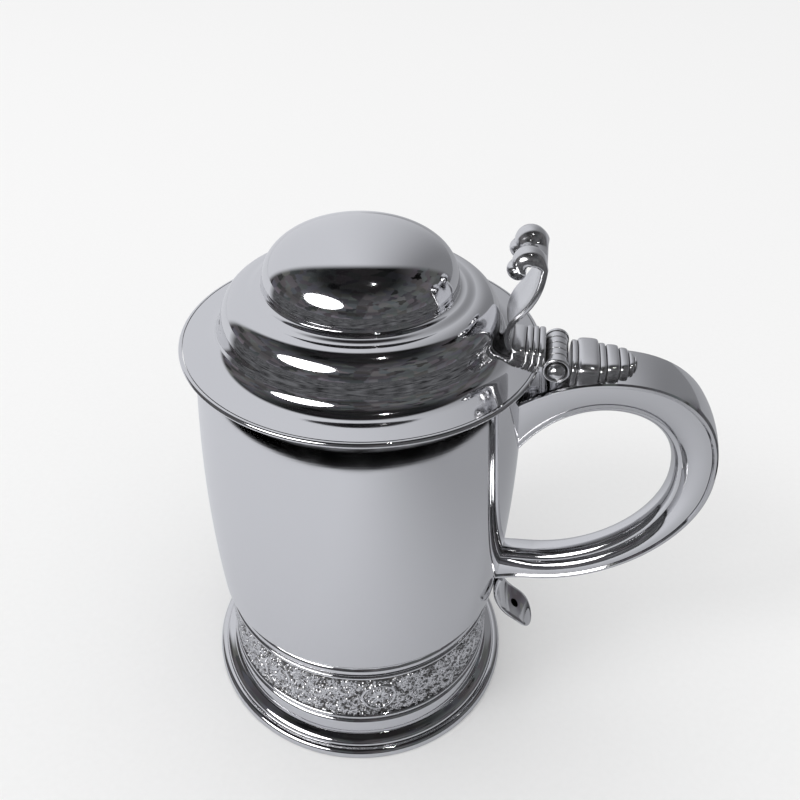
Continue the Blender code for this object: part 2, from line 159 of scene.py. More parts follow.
# The thumbpiece is a ribbon that rises as an S seen from the side, then rolls up about ROLL_CENTRE.
# Its half-width grows from the first of THUMB_WIDTHS to the second. ROLL_FILLING thickens the roll's
# inner side, and a bead of radius ROLL_END closes it.
THUMB_CURVES = (
    (0.872, 2.62), (0.80, 2.70), (0.775, 2.80),
    (0.825, 2.89), (0.872, 2.965), (0.937, 3.03),
    (0.937, 3.19),
)
ROLL_CENTRE = (0.850, 3.19)
ROLL_RADII = (0.087, 0.042)
ROLL_TURN = 275
ROLL_END = 0.054
ROLL_FILLING = 0.038
THUMB_WIDTHS = (0.105, 0.200)

# The relief's pattern repeats PANELS times round the band. Each has a shield in its middle, and one
# shield stands SHIELD_TURN degrees from the camera's side, towards the handle.
PANELS = 8
PANEL_COLUMNS = 168
BAND_ROWS = 100
SHIELD_TURN = 7.5

# A millimetre, in metres.
MM = 0.001

# The camera stands CAMERA_AZIMUTH degrees from -Y towards the handle, and looks down CAMERA_PITCH
# degrees. Its lens is in millimetres.
CAMERA_AZIMUTH = 12.0
CAMERA_DISTANCE = 3.7208
CAMERA_HEIGHT = 4.9113
CAMERA_PITCH = 36.65
CAMERA_LENS = 35.07
CAMERA_SHIFT = 0.0496

# PALE is the backdrop's level, and AMBIENT that of the even light on matt things. Reflections see a
# wall behind the object, a cone of WALL_SPREAD degrees about a line WALL_ELEVATION degrees up, and the
# table's edge TABLE_EDGE metres from the axis.
PALE = 0.896
AMBIENT = 0.94
WALL_ELEVATION = 12.0
WALL_SPREAD = 58.0
TABLE_EDGE = 0.285

# The world's brightness in the dark part of the room: (share of the way from straight down to
# straight up, brightness).
ROOM_LEVELS = (
    (0.23, 0.003), (0.27, 0.012), (0.31, 0.11), (0.47, 0.13),
    (0.60, 0.07), (0.74, 0.10), (0.90, 0.05), (0.95, 0.012),
)

# Colours of the clean metal, and of the tarnish and painted shade in its hollows.
METAL = (0.76, 0.76, 0.775, 1.0)
TARNISH_AND_SHADE = (0.10, 0.095, 0.09, 1.0)


def curve_points(controls, steps):
    """Points along cubic curves joined end to end. Each curve takes three control points and the next."""
    points = []
    for start in range(0, len(controls) - 1, 3):
        a, b, c, d = (Vector(point) for point in controls[start:start + 4])
        for step in range(steps):
            t = step / steps
            s = 1 - t
            points.append(a * s**3 + b * 3 * s * s * t + c * 3 * s * t * t + d * t**3)
    points.append(Vector(controls[-1]))
    return points


def arc_points(centre, radius, start, end, steps):
    """Points on a round stretch of outline, in degrees from +X."""
    points = []
    for step in range(steps + 1):
        angle = math.radians(start + (end - start) * step / steps)
        points.append(Vector((centre[0] + radius * math.cos(angle), centre[1] + radius * math.sin(angle))))
    return points


def normals_of(points):
    """Unit normals of a line of points, on the left-hand side of its direction."""
    normals = []
    for index in range(len(points)):
        before = points[max(index - 1, 0)]
        after = points[min(index + 1, len(points) - 1)]
        along = (after - before).normalized()
        normals.append(Vector((-along.y, along.x)))
    return normals


def offset_points(points, distance):
    return [point + normal * distance for point, normal in zip(points, normals_of(points))]


def eased(outline, radius, steps=4):
    """A closed outline with its corners rounded, so that every edge catches a line of light."""
    rounded = []
    for index, corner in enumerate(outline):
        before = outline[index - 1]
        after = outline[(index + 1) % len(outline)]
        to_before = before - corner
        to_after = after - corner
        turn = to_before.angle(-to_after, 0.0)
        if turn < math.radians(25):
            rounded.append(corner)
            continue
        reach_back = min(radius * math.tan(turn / 2), 0.45 * to_before.length, 0.45 * to_after.length)
        start = corner + to_before.normalized() * reach_back
        end = corner + to_after.normalized() * reach_back
        for step in range(steps + 1):
            t = step / steps
            rounded.append(start * (1 - t) ** 2 + corner * 2 * t * (1 - t) + end * t * t)
    return rounded


def grid_faces(rows, columns, wrap_rows=False, wrap_columns=True):
    """Four-sided faces over a grid of points stored row by row."""
    row = np.arange(rows if wrap_rows else rows - 1)
    column = np.arange(columns if wrap_columns else columns - 1)
    row, column = np.meshgrid(row, column, indexing="ij")
    next_row = (row + 1) % rows
    next_column = (column + 1) % columns
    corners = (
        row * columns + column, row * columns + next_column,
        next_row * columns + next_column, next_row * columns + column,
    )
    return np.stack(corners, axis=-1).reshape(-1, 4).tolist()


def add_piece(name, points, faces, nodes, material, sharp=40):
    """Makes one closed piece from points in multiples of RADIUS. It stands for the CAD nodes named.

    Edges that turn by more than sharp degrees are shown sharp.
    """
    mesh = bpy.data.meshes.new(name)
    mesh.from_pydata((np.asarray(points, float) * RADIUS).tolist(), [], faces)
    shape = bmesh.new()
    shape.from_mesh(mesh)
    bmesh.ops.remove_doubles(shape, verts=shape.verts[:], dist=1e-7)
    if shape.calc_volume(signed=True) < 0:
        bmesh.ops.reverse_faces(shape, faces=shape.faces[:])
    shape.to_mesh(mesh)
    shape.free()
    mesh.shade_smooth()
    mesh.set_sharp_from_angle(angle=math.radians(sharp))
    mesh.materials.append(material)
    obj = bpy.data.objects.new(name, mesh)
    bpy.context.scene.collection.objects.link(obj)
    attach(obj, frame["nodes"][nodes[0]]["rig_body"])
    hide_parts(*nodes)
    return obj


def turned_points(outline, facets):
    """An outline swept once round Z, one row of points for each facet."""
    angles = np.arange(facets) * 2 * math.pi / facets
    radii = np.array([point[0] for point in outline])
    heights = np.array([point[1] for point in outline])
    x = np.outer(np.cos(angles), radii)
    y = np.outer(np.sin(angles), radii)
    z = np.tile(heights, (facets, 1))
    return np.stack([x, y, z], axis=-1).reshape(-1, 3)


def add_turned(name, outline, nodes, material, facets=FACETS):
    """A piece turned about Z. An outline that starts and ends on the axis isn't joined up along it."""
    on_axis = outline[0][0] == 0.0
    faces = grid_faces(facets, len(outline), wrap_rows=True, wrap_columns=not on_axis)
    return add_piece(name, turned_points(outline, facets), faces, nodes, material)


def lofted(sections):
    """Points and faces of a closed solid through sections that have the same number of points."""
    count = len(sections[0])
    points = [tuple(point) for section in sections for point in section]
    faces = grid_faces(len(sections), count)
    faces.append(list(range(count)))
    faces.append(list(range((len(sections) - 1) * count, len(sections) * count)))
    return points, faces


# Drum, mouth and foot.


def belly(height):
    """The drum's outer radius at a height."""
    return BELLY_RADIUS - BELLY_CURVE * (height - BELLY_HEIGHT) ** 2


def build_drum(material):
    side_bottom = DRUM_BOTTOM + TURN_IN
    steps = 48
    outer = []
    for step in range(steps + 1):
        height = DRUM_TOP + (side_bottom - DRUM_TOP) * step / steps
        outer.append(Vector((belly(height), height)))
    outer += arc_points((belly(side_bottom) - TURN_IN, side_bottom), TURN_IN, 0, -80, 8)[1:]
    inner = [Vector((point[0] - WALL, point[1])) for point in reversed(outer)]
    add_turned("drum_wall", eased(outer + inner, 0.006), ["body_drum"], material)


def ring_outline(outer, inner_radius):
    """Closes an outer outline, given from top to bottom, with a straight bore."""
    return [*outer, Vector((inner_radius, outer[-1][1])), Vector((inner_radius, outer[0][1]))]


def wire_outline(node, inner_radius, steps=12):
    """A ring with a half-round outer edge, as tall and wide as a CAD node."""
    half = (top(node) - bottom(node)) / 2
    bead = arc_points((reach(node) - half, bottom(node) + half), half, 90, -90, steps)
    return ring_outline(bead, inner_radius)


def build_mouth(material):
    add_turned("mouth_edge", wire_outline("mouth_wire", MOUTH_BORE), ["mouth_wire"], material)


def build_foot(material):
    build_foot_rim(material)
    build_foot_flange(material)
    build_foot_step(material)
    rings = (
        ("bead_lower", "band_lower_wire", 12),
        ("bead_upper", "band_upper_wire", 12),
        ("neck_moulding", "foot_neck_ring", 16),
    )
    for name, node, steps in rings:
        add_turned(name, wire_outline(node, FOOT_BORE, steps), [node], material)


def build_foot_rim(material):
    """The edge the tankard stands on: rounded above and upright below."""
    rounding = 0.037
    foot = reach("foot_rim_wire")
    corner = (foot - rounding, top("foot_rim_wire") - rounding)
    side = [*arc_points(corner, rounding, 90, 0, 12), Vector((foot, 0.0))]
    outline = eased(ring_outline(side, reach("foot_base_plate") + GAP), EDGE)
    add_turned("foot_rim", outline, ["foot_rim_wire"], material)


def build_foot_flange(material):
    """The spread of the foot, which slopes down to its rim."""
    flange_top = top("foot_flange")
    slope = (
        (0.930, flange_top), (0.955, flange_top - 0.014), (0.985, flange_top - 0.020),
        (0.990, top("foot_rim_wire") + GAP),
    )
    add_turned("foot_spread", ring_outline(curve_points(slope, 20), FOOT_BORE), ["foot_flange"], material)


def build_foot_step(material):
    """The step under the band: a rounded shoulder over a steep side that spreads a little."""
    rounding = 0.032
    taper = 0.012
    side = reach("foot_shoulder_ring")
    corner = (side - taper - rounding, top("foot_shoulder_ring") - rounding)
    step = arc_points(corner, rounding, 90, 9, 14)
    step.append(Vector((side, top("foot_flange") + GAP)))
    add_turned("foot_step", ring_outline(step, FOOT_BORE), ["foot_shoulder_ring"], material)


# Relief on the foot's band. Lengths on a panel are in millimetres: u runs round, v runs up.


class Relief:
    """The height of the relief over one panel, built up by stamping round shapes on it."""

    def __init__(self, width, height):
        self.width = width
        u = np.arange(PANEL_COLUMNS) * width / PANEL_COLUMNS
        v = np.linspace(0, height, BAND_ROWS)
        self.u, self.v = np.meshgrid(u, v, indexing="ij")
        self.rise = np.zeros_like(self.u)

    def from_point(self, u, v):
        """How far each place lies from a point, the short way round the panel."""
        across = (self.u - u + self.width / 2) % self.width - self.width / 2
        return across, self.v - v

    def ball(self, u, v, radius, lift=0.0):
        """The upper half of a ball that stands on a ground lifted this far."""
        across, up = self.from_point(u, v)
        inside = np.clip(radius**2 - across**2 - up**2, 0, None)
        self.rise = np.maximum(self.rise, np.where(inside > 0, lift + np.sqrt(inside), 0))

    def leaf(self, u, v, angle, length, width, rise):
        """A pointed leaf with a groove along its middle. It grows from (u, v) at this angle in degrees."""
        across, up = self.from_point(u, v)
        cosine = math.cos(math.radians(angle))
        sine = math.sin(math.radians(angle))
        along = (across * cosine + up * sine) / length
        aside = (up * cosine - across * sine) / width
        half = np.sin(math.pi * np.clip(along, 0, 1) ** 0.8)
        inside = (along > 0) & (along < 1) & (np.abs(aside) < half)
        body = np.sqrt(np.clip(1 - (aside / np.maximum(half, 1e-6)) ** 2, 0, 1))
        groove = 1 - 0.55 * np.exp(-((aside / 0.16) ** 2))
        self.rise = np.maximum(self.rise, np.where(inside, rise * body * groove, 0))

    def scroll(self, u, v, start, turn, outer, inner, thick, hand):
        """A rolled stem: a spiral of balls that ends in a bigger one, with leaves along its outside."""
        steps = int(abs(turn) / 3)
        for step in range(steps + 1):
            share = step / steps
            angle = math.radians(start + hand * turn * share)
            radius = outer + (inner - outer) * share**0.8
            place = (u + radius * math.cos(angle), v + radius * math.sin(angle))
            self.ball(*place, thick * (1 - 0.45 * share))
            if step % 9 == 4 and share < 0.75:
                tilt = math.degrees(angle) + hand * 48
                self.leaf(*place, tilt, 2.9 * (1 - 0.3 * share), 0.85, 0.95)
        self.ball(u, v, inner * 1.25)

    def flower(self, u, v, size, petals):
        """A ring of petals round a ball."""
        for petal in range(petals):
            angle = 360 * petal / petals + 18
            self.leaf(u, v, angle, 2.1 * size, 0.70 * size, 0.95)
        self.ball(u, v, 0.55 * size, 0.55)


def panel_relief(width, height):
    """An oval shield between rolled stems and flowers, on a ground of small leaves and berries."""
    relief = Relief(width, height)
    middle = height / 2
    centre = width / 2
    stamp_shield(relief, centre, middle)
    draws = np.random.default_rng(11)
    spacing = 1.2
    for column in range(int(width / spacing)):
        for row in range(int(height / spacing)):
            jitter = draws.uniform(-0.4, 0.4, 2)
            place = ((column + 0.5) * spacing + jitter[0], (row + 0.5) * spacing + jitter[1])
            angle = draws.uniform(0, 360)
            length = draws.uniform(1.5, 2.6)
            relief.leaf(*place, angle, length, 0.42, draws.uniform(0.5, 0.95))
            if (column + row) % 3 == 0:
                relief.ball(*place, draws.uniform(0.32, 0.5), 0.6)
    # Stems: (aside, up, start angle, turn, outer radius, inner radius, thickness, hand).
    stems = (
        (12.2, 4.6, 180, 540, 4.6, 0.8, 0.78, -1),
        (11.6, -5.6, 150, 500, 4.2, 0.8, 0.74, 1),
        (18.4, 0.6, 200, 460, 3.0, 0.7, 0.66, 1),
    )
    # Flowers: (aside, up, size, petals).
    flowers = ((18.2, -7.6, 1.35, 6), (17.6, 8.2, 1.2, 5), (7.6, -0.6, 0.9, 6))
    for side in (-1, 1):
        facing = 90 - side * 90
        for aside, up, start, turn, outer, inner, thick, hand in stems:
            place = (centre + side * aside, middle + up)
            relief.scroll(*place, facing + start, turn, outer, inner, thick, hand * side)
        for aside, up, size, petals in flowers:
            relief.flower(centre + side * aside, middle + up, size, petals)
    return relief.rise


def stamp_shield(relief, centre, middle):
    """The oval shield: a raised rim with beads inside it, round a flower of two rows of petals."""
    across, up = relief.from_point(centre, middle)
    half_width = 6.2
    half_height = 7.0
    distance = np.sqrt((across / half_width) ** 2 + (up / half_height) ** 2)
    rim = np.clip(1 - ((distance - 1.0) / 0.10) ** 2, 0, None)
    relief.rise = np.maximum(relief.rise, 1.15 * np.sqrt(rim))
    relief.flower(centre, middle, 2.3, 8)
    relief.flower(centre, middle, 1.3, 5)
    beads = 26
    inset = 0.80
    for bead in range(beads):
        angle = 2 * math.pi * bead / beads
        aside = inset * half_width * math.cos(angle)
        relief.ball(centre + aside, middle + inset * half_height * math.sin(angle), 0.40, 0.5)


def build_band(material):
    """The band is a ring with the relief of PANELS panels raised on its outside."""
    radius = reach("ornament_band")
    low, high = bottom("ornament_band"), top("ornament_band")
    width = 2 * math.pi * radius * RADIUS / MM / PANELS
    height = (high - low) * RADIUS / MM
    rise = np.tile(panel_relief(width, height), (PANELS, 1)) * MM / RADIUS
    rise[:, :2] = 0.0
    rise[:, -2:] = 0.0
    columns = PANELS * PANEL_COLUMNS
    shield_turn = math.radians(CAMERA_AZIMUTH - 90 + SHIELD_TURN)
    angles = (np.arange(columns) / columns - 0.5 / PANELS) * 2 * math.pi + shield_turn
    outside = radius + rise
    inner = np.full((columns, 2), FOOT_BORE)
    radii = np.hstack([outside, inner])
    heights = np.tile(np.append(np.linspace(low, high, BAND_ROWS), [high, low]), (columns, 1))
    points = np.stack([radii * np.cos(angles)[:, None], radii * np.sin(angles)[:, None], heights], axis=-1)
    faces = grid_faces(columns, BAND_ROWS + 2, wrap_rows=True)
    add_piece("relief_band", points.reshape(-1, 3), faces, ["ornament_band"], material, sharp=75)


# The lid.


def build_lid_cover(material):
    outer = curve_points(COVER_CURVES, 24) + [Vector(BRIM_EDGE)]
    inner = offset_points(outer, -WALL)
    inner[0].x = 0.0
    inner[-1].x = BRIM_EDGE[0]
    add_turned("lid_sheet", outer + inner[::-1], ["lid_cover"], material)


def build_lid_rings(material):
    add_turned("lid_edge", wire_outline("lid_rim_wire", BRIM_EDGE[0] + GAP, 16), ["lid_rim_wire"], material)
    outer = reach("lid_bezel")
    side = [Vector((outer, top("lid_bezel"))), Vector((outer, bottom("lid_bezel")))]
    add_turned("lid_inner_ring", eased(ring_outline(side, outer - WALL), EDGE), ["lid_bezel"], material)


# The hinge.


def along_hinge(points, offset, flip=1):
    """Lays points turned about Z along the hinge's line, this far from its middle."""
    x, y, z = np.asarray(points, float).T
    return np.stack([x + PIVOT.x, z * flip + offset, PIVOT.z - y * flip], axis=-1)


def build_knuckles(material):
    names = (
        "handle_knuckle_1", "lid_knuckle_1", "handle_knuckle_2", "lid_knuckle_2", "handle_knuckle_3",
    )
    for name in names:
        low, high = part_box(name)
        half = (high.y - low.y) / 2 / RADIUS
        side = [Vector((KNUCKLE_RADIUS, half)), Vector((KNUCKLE_RADIUS, -half))]
        outline = eased(ring_outline(side, KNUCKLE_BORE), 0.004, 3)
        points = along_hinge(turned_points(outline, HINGE_FACETS), (high.y + low.y) / 2 / RADIUS)
        faces = grid_faces(HINGE_FACETS, len(outline), wrap_rows=True)
        add_piece(name.replace("knuckle", "barrel"), points, faces, [name], material)


def build_caps(material):
    """Each end of the barrel: a ring round a groove, with a ball standing in it."""
    ring = 0.008
    ball = 0.048
    seat = 0.014
    ring_rise = 0.002
    for name, side, size in (("hinge_cap_left", 1, 0.86), ("hinge_cap_right", -1, 0.95)):
        low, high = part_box(name)
        inner_end = (low.y if side > 0 else high.y) / RADIUS
        radius = size * (high.z - low.z) / 2 / RADIUS
        dome = arc_points((0.0, seat), ball, 90, -8, 16)
        dome[0].x = 0.0
        rim = arc_points((radius - ring, seat + ring_rise), ring, 190, 0, 12)
        outline = [*dome, *rim, Vector((radius, 0.0)), Vector((0.0, 0.0))]
        points = along_hinge(turned_points(outline, HINGE_FACETS), inner_end, side)
        faces = grid_faces(HINGE_FACETS, len(outline), wrap_rows=True, wrap_columns=False)
        add_piece(name.replace("cap", "boss"), points, faces, [name], material)


# The handle.


def handle_stations():
    """For each step along the handle: the strap's outer point, the way in to the grip, depth and width."""
    strap = curve_points(STRAP_CURVES, HANDLE_STEPS)
    grip = curve_points(GRIP_CURVES, HANDLE_STEPS)
    stations = []
    for index, (outer, inner) in enumerate(zip(strap, grip)):
        share = index / (len(strap) - 1)
        width = STRAP_WIDTHS[0] + (STRAP_WIDTHS[1] - STRAP_WIDTHS[0]) * share
        inwards = inner - outer
        stations.append((outer, inwards.normalized(), inwards.length, width))
    return stations


def rested(x, across, height):
    """The x of a point beside the drum. One that would fall inside it rests in its wall instead."""
    seat = belly(height) - SEAT
    if math.hypot(x, across) < seat:
        return math.sqrt(seat**2 - across**2)
    return x


def placed(outer, inwards, across, depth):
    """A point of a handle section: this far across, and this deep under the strap's outer face."""
    point = outer + inwards * depth
    return Vector((rested(point.x, across, point.y), across, point.y))


def outside_drum(stations):
    """The stations whose strap or grip lies outside the drum, with one more at each end."""
    kept = []
    for index, (outer, inwards, depth, _) in enumerate(stations):
        grip = outer + inwards * depth
        if outer.x > belly(outer.y) - WALL or grip.x > belly(grip.y) - WALL:
            kept.append(index)
    return stations[max(kept[0] - 1, 0):kept[-1] + 2]


def strap_section(station):
    """The strap: a crowned outer face with rounded edges and a flat underside."""
    outer, inwards, _, width = station
    steps = 16
    points = []
    for step in range(steps + 1):
        across = (width - EDGE) * (1 - 2 * step / steps)
        crown = STRAP_CROWN * (1 - (across / width) ** 2)
        points.append(Vector((across, -crown)))
    lower = STRAP_THICKNESS
    left = [Vector((-width, EDGE)), Vector((-width, lower - EDGE)), Vector((EDGE - width, lower))]
    right = [Vector((-point.x, point.y)) for point in reversed(left)]
    return [placed(outer, inwards, point.x, point.y) for point in points + left + right]


def shell_section(station):
    """A deep U: sides that lean in from the strap to a round grip edge."""
    outer, inwards, depth, width = station
    start = STRAP_THICKNESS + 0.5 * GAP
    half = width - GRIP_RECESS
    shoulder = Vector((half, start))
    bend = Vector((half * 0.97, start + 0.5 * (depth - start)))
    side_end = Vector((GRIP_WIDTH, depth - GRIP_ROUND))
    steps = 12
    side = []
    for step in range(steps):
        t = step / steps
        side.append(shoulder * (1 - t) ** 2 + bend * 2 * t * (1 - t) + side_end * t * t)
    grip = [
        Vector((point.x * GRIP_WIDTH, depth - GRIP_ROUND + point.y * GRIP_ROUND))
        for point in arc_points((0.0, 0.0), 1.0, 0, 180, 20)
    ]
    mirrored = [Vector((-point.x, point.y)) for point in reversed(side)]
    return [placed(outer, inwards, point.x, point.y) for point in side + grip + mirrored]


def build_handle(material):
    stations = outside_drum(handle_stations())
    points, faces = lofted([strap_section(station) for station in stations])
    add_piece("handle_back", points, faces, ["handle_strap"], material)
    points, faces = lofted([shell_section(station) for station in stations])
    add_piece("handle_grip", points, faces, ["handle_shell"], material)


def bar_section(point, normal, width, thickness, dish, edge):
    """A bar across Y that is bowed by dish, and whose two edges swell to beads of radius edge."""
    steps = 14
    half = thickness / 2
    upper = []
    lower = []
    for step in range(steps + 1):
        across = width * math.cos(math.pi * step / steps)
        share = across / width
        bead = (edge - half) * max(0.0, (abs(share) - 0.6) / 0.4) ** 2
        close = math.sqrt(max(1 - share**8, 0.0))
        hollow = dish * (1 - share**2)
        upper.append((across, (half + bead) * close - hollow))
        lower.append((across, -(half + bead) * close - hollow))
    outline = upper + lower[-2:0:-1]
    section = []
    for across, lift in outline:
        moved = point + normal * lift
        section.append(Vector((moved.x, across, moved.y)))
    return section


def leaf_section(point, normal, share):
    """A section of the leaf, this share of the way along it. It spreads, then closes to a rounded tip."""
    bow = 0.010
    spread = min(0.86 + 0.30 * math.sin(math.pi * min(share / 0.75, 1.0) * 0.5), 1.05)
    tip = math.sqrt(max(1 - (max(share - 0.55, 0.0) / 0.45) ** 2.6, 0.02))
    thickness = TERMINAL_THICKNESS * (1 - 0.5 * share)
    width = TERMINAL_WIDTH * spread * tip
    section = bar_section(point, normal, width, thickness * 0.7, bow * tip, thickness / 2)
    for corner in section:
        if corner.z > DRUM_BOTTOM:
            corner.x = rested(corner.x, corner.y, corner.z)
    return section


def build_terminal(material):
    """The handle's lower end: a leaf that curls away from the foot, with a vent hole in its face."""
    path = curve_points(TERMINAL_CURVES, 26)
    last = len(path) - 1
    normals = normals_of(path)
    sections = []
    for index, (point, normal) in enumerate(zip(path, normals)):
        sections.append(leaf_section(point, normal, index / last))
    points, faces = lofted(sections)
    leaf_end = add_piece("handle_leaf", points, faces, ["handle_terminal"], material)
    vent = last // 2
    cut_vent(leaf_end, path[vent], normals[vent])


def cut_vent(piece, centre, normal):
    """Drills a round hole part of the way into the leaf, and leaves the result as a plain mesh."""
    drill = bmesh.new()
    bmesh.ops.create_cone(
        drill, cap_ends=True, segments=48, radius1=VENT_RADIUS * RADIUS, radius2=VENT_RADIUS * RADIUS,
        depth=2 * TERMINAL_THICKNESS * RADIUS,
    )
    mouth = (centre + normal * TERMINAL_THICKNESS * 0.85) * RADIUS
    lean = Vector((0, 0, 1)).rotation_difference(Vector((normal.x, 0, normal.y))).to_matrix().to_4x4()
    place = Matrix.Translation((mouth.x, 0, mouth.y)) @ lean
    bmesh.ops.transform(drill, matrix=place, verts=drill.verts[:])
    mesh = bpy.data.meshes.new("drill")
    drill.to_mesh(mesh)
    drill.free()
    cutter = bpy.data.objects.new("drill", mesh)
    bpy.context.scene.collection.objects.link(cutter)
    cut = piece.modifiers.new("vent", "BOOLEAN")
    cut.solver = "EXACT"
    cut.object = cutter
    bpy.context.view_layer.update()
    result = bpy.data.meshes.new_from_object(piece.evaluated_get(bpy.context.evaluated_depsgraph_get()))
    piece.modifiers.clear()
    piece.data = result
    bpy.data.objects.remove(cutter)


# The ribbed plates each side of the hinge.


def rib_sections(start, ribs, base_of, steps=15):
    """Sections along X through ribs that are nearly flat on top.

    Each rib is (length, half-width, top height). Base_of gives the height of what they stand on.
    """
    sections = []
    along = start
    groove = 0.022
    end = 0.99
    for length, half_width, height in ribs:
        for step in range(steps):
            t = -end * math.cos(math.pi * step / (steps - 1))
            bulge = 0.82 * math.sqrt(1 - t**8) + 0.18 * (1 - t * t)
            place = along + length * (1 + t) / 2
            crest = height - groove * (1 - bulge)
            width = half_width - 0.6 * groove * (1 - bulge)
            sections.append(rib_section(place, width, base_of(place), crest))
        along += length
    return sections


def rib_section(along, half_width, base, crest):
    """An arch across Y with square shoulders, and a foot at each end that swells a little."""
    squareness = 0.27
    swelling = 0.010
    steps = 28
    points = []
    for step in range(steps + 1):
        angle = math.pi * step / steps
        lift = max(math.sin(angle), 0.0) ** squareness
        foot = swelling * math.exp(-(((lift - 0.22) / 0.16) ** 2))
        across = (half_width + foot) * math.cos(angle)
        points.append(Vector((along, across, base + (crest - base) * lift)))
    return points


def build_handle_plate(material):
    """Ribs that shrink to a point along the handle: a narrow one, a bold one, then smaller ones."""
    low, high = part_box("handle_rib_plate")
    start = low.x / RADIUS
    crest = high.z / RADIUS
    # Each rib: (length before scaling, half-width, how far its top lies under the highest).
    shapes = (
        (0.096, 0.160, 0.012), (0.320, 0.172, 0.0), (0.110, 0.148, 0.016), (0.195, 0.131, 0.010),
        (0.140, 0.112, 0.015), (0.085, 0.078, 0.021), (0.050, 0.040, 0.030),
    )
    scale = (high.x / RADIUS - start) / sum(length for length, _, _ in shapes)
    ribs = [(length * scale, width, crest - drop) for length, width, drop in shapes]
    strap = curve_points(STRAP_CURVES, HANDLE_STEPS)

    def strap_height(along):
        nearest = min(strap[:len(strap) // 2], key=lambda point: abs(point.x - along))
        return nearest.y - 0.5 * STRAP_THICKNESS

    points, faces = lofted(rib_sections(start, ribs, strap_height))
    add_piece("handle_ribs", points, faces, ["handle_rib_plate"], material)


def build_lid_plate(material):
    """A broad rib beside the thumbpiece and three narrow ones next to the barrel."""
    taller = 0.022
    wider = 0.008
    sink = 0.010
    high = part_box("lid_rib_plate")[1]
    crest = high.z / RADIUS + taller
    half_width = high.y / RADIUS + wider
    brim = top("lid_rim_wire") - sink
    lengths = (0.074, 0.034, 0.032, 0.036)
    end = PIVOT.x - KNUCKLE_RADIUS - GAP
    ribs = [(length, half_width, crest) for length in lengths]
    points, faces = lofted(rib_sections(end - sum(lengths), ribs, lambda along: brim))
    add_piece("lid_ribs", points, faces, ["lid_rib_plate"], material)


# The thumbpiece.


def thumb_width(share):
    """Half-width along the ribbon: narrow at the root, widest where it starts to roll."""
    root, roll = THUMB_WIDTHS
    return root + (roll - root) * math.sin(0.5 * math.pi * min(1.25 * share, 1.0))


def build_thumbpiece(material):
    """A ribbon with beaded edges that rises, then rolls forward into two lobes with a cleft between."""
    points, faces = lofted([thumb_section(*row) for row in thumb_rows()])
    add_piece("thumb_scroll", points, faces, ["thumbpiece"], material, sharp=60)


def thumb_rows(rise_steps=20, roll_steps=80):
    """For each step along the ribbon: its point and normal, how far it has rolled, and how far risen."""
    rise = curve_points(THUMB_CURVES, rise_steps)
    last = len(rise) - 1
    rows = []
    for index, (point, normal) in enumerate(zip(rise, normals_of(rise))):
        rows.append((point, normal, 0.0, index / last))
    for step in range(1, roll_steps + 1):
        rolled = step / roll_steps
        angle = math.radians(ROLL_TURN * rolled)
        radius = ROLL_RADII[0] + (ROLL_RADII[1] - ROLL_RADII[0]) * rolled
        direction = Vector((math.cos(angle), math.sin(angle)))
        rows.append((Vector(ROLL_CENTRE) + direction * radius, -direction, rolled, 1.0))
    return rows


def thumb_section(point, normal, rolled, share, steps=48):
    """The ribbon's outline across Y at one step along it."""
    width = thumb_width(share)
    upper = []
    lower = []
    for step in range(steps + 1):
        place = math.cos(math.pi * step / steps)
        upper.append(thumb_point(point, normal, rolled, share, place, width, 1))
        lower.append(thumb_point(point, normal, rolled, share, place, width, -1))
    return upper + lower[-2:0:-1]


def lobe_size(place, rolled):
    """How big the roll is across Y: full in the middle of each lobe, small between and beyond them."""
    spread = (abs(place) - 0.62) / 0.44
    lobe = math.sqrt(max(1 - spread**2, 0.10))
    blend = min(rolled / 0.15, 1.0)
    return 1 + (lobe - 1) * blend


def roll_end(rolled):
    """Half the thickness the bead at the roll's end gives the ribbon."""
    length = math.radians(ROLL_TURN) * sum(ROLL_RADII) / 2
    from_middle = (1 - rolled) * length - ROLL_END
    return math.sqrt(max(ROLL_END**2 - from_middle**2, 0.0))


def thumb_point(point, normal, rolled, share, place, width, face):
    """One point of the ribbon's skin. Face is 1 on the side its normal points to and -1 on the other."""
    thin = 0.013
    bead = 0.028
    dip = 0.022
    side = max(0.0, (abs(place) - 0.62) / 0.38) ** 2
    half = thin + (bead - thin) * side * (1 - 0.6 * rolled)
    size = lobe_size(place, rolled)
    if rolled > 0:
        half = max(half if rolled < 0.98 else 0.0, roll_end(rolled) * size)
    close = math.sqrt(max(1 - abs(place) ** 10, 0.0))
    dish = dip * (1 - place**2) * math.sin(math.pi * min(share, 1.0)) * (1 - min(rolled / 0.1, 1.0))
    if face > 0:
        half += ROLL_FILLING * math.sqrt(math.sin(math.pi * min(rolled / 0.8, 1.0)))
    centre = Vector(ROLL_CENTRE)
    base = centre + (point - centre) * size if rolled > 0 else point
    moved = base + normal * (face * half * close - dish)
    return Vector((moved.x, width * place, moved.y))


# Materials.


def add_node(tree, kind, inputs=None, **settings):
    """Adds a shader node. A value in inputs may be a plain value or another node's output."""
    made = tree.nodes.new(kind)
    for key, value in settings.items():
        setattr(made, key, value)
    for socket, value in (inputs or {}).items():
        if isinstance(value, bpy.types.NodeSocket):
            tree.links.new(value, made.inputs[socket])
        else:
            made.inputs[socket].default_value = value
    return made


def math_node(tree, operation, first, second=0.0):
    return add_node(tree, "ShaderNodeMath", {0: first, 1: second}, operation=operation).outputs[0]


def vector_value(tree, operation, first, second=(0.0, 0.0, 0.0)):
    """The number that a vector operation gives, such as a length or a dot product."""
    made = add_node(tree, "ShaderNodeVectorMath", {0: first, 1: second}, operation=operation)
    return made.outputs["Value"]


def noise(tree, place, scale, detail):
    inputs = {"Vector": place, "Scale": scale, "Detail": detail}
    return add_node(tree, "ShaderNodeTexNoise", inputs).outputs[0]


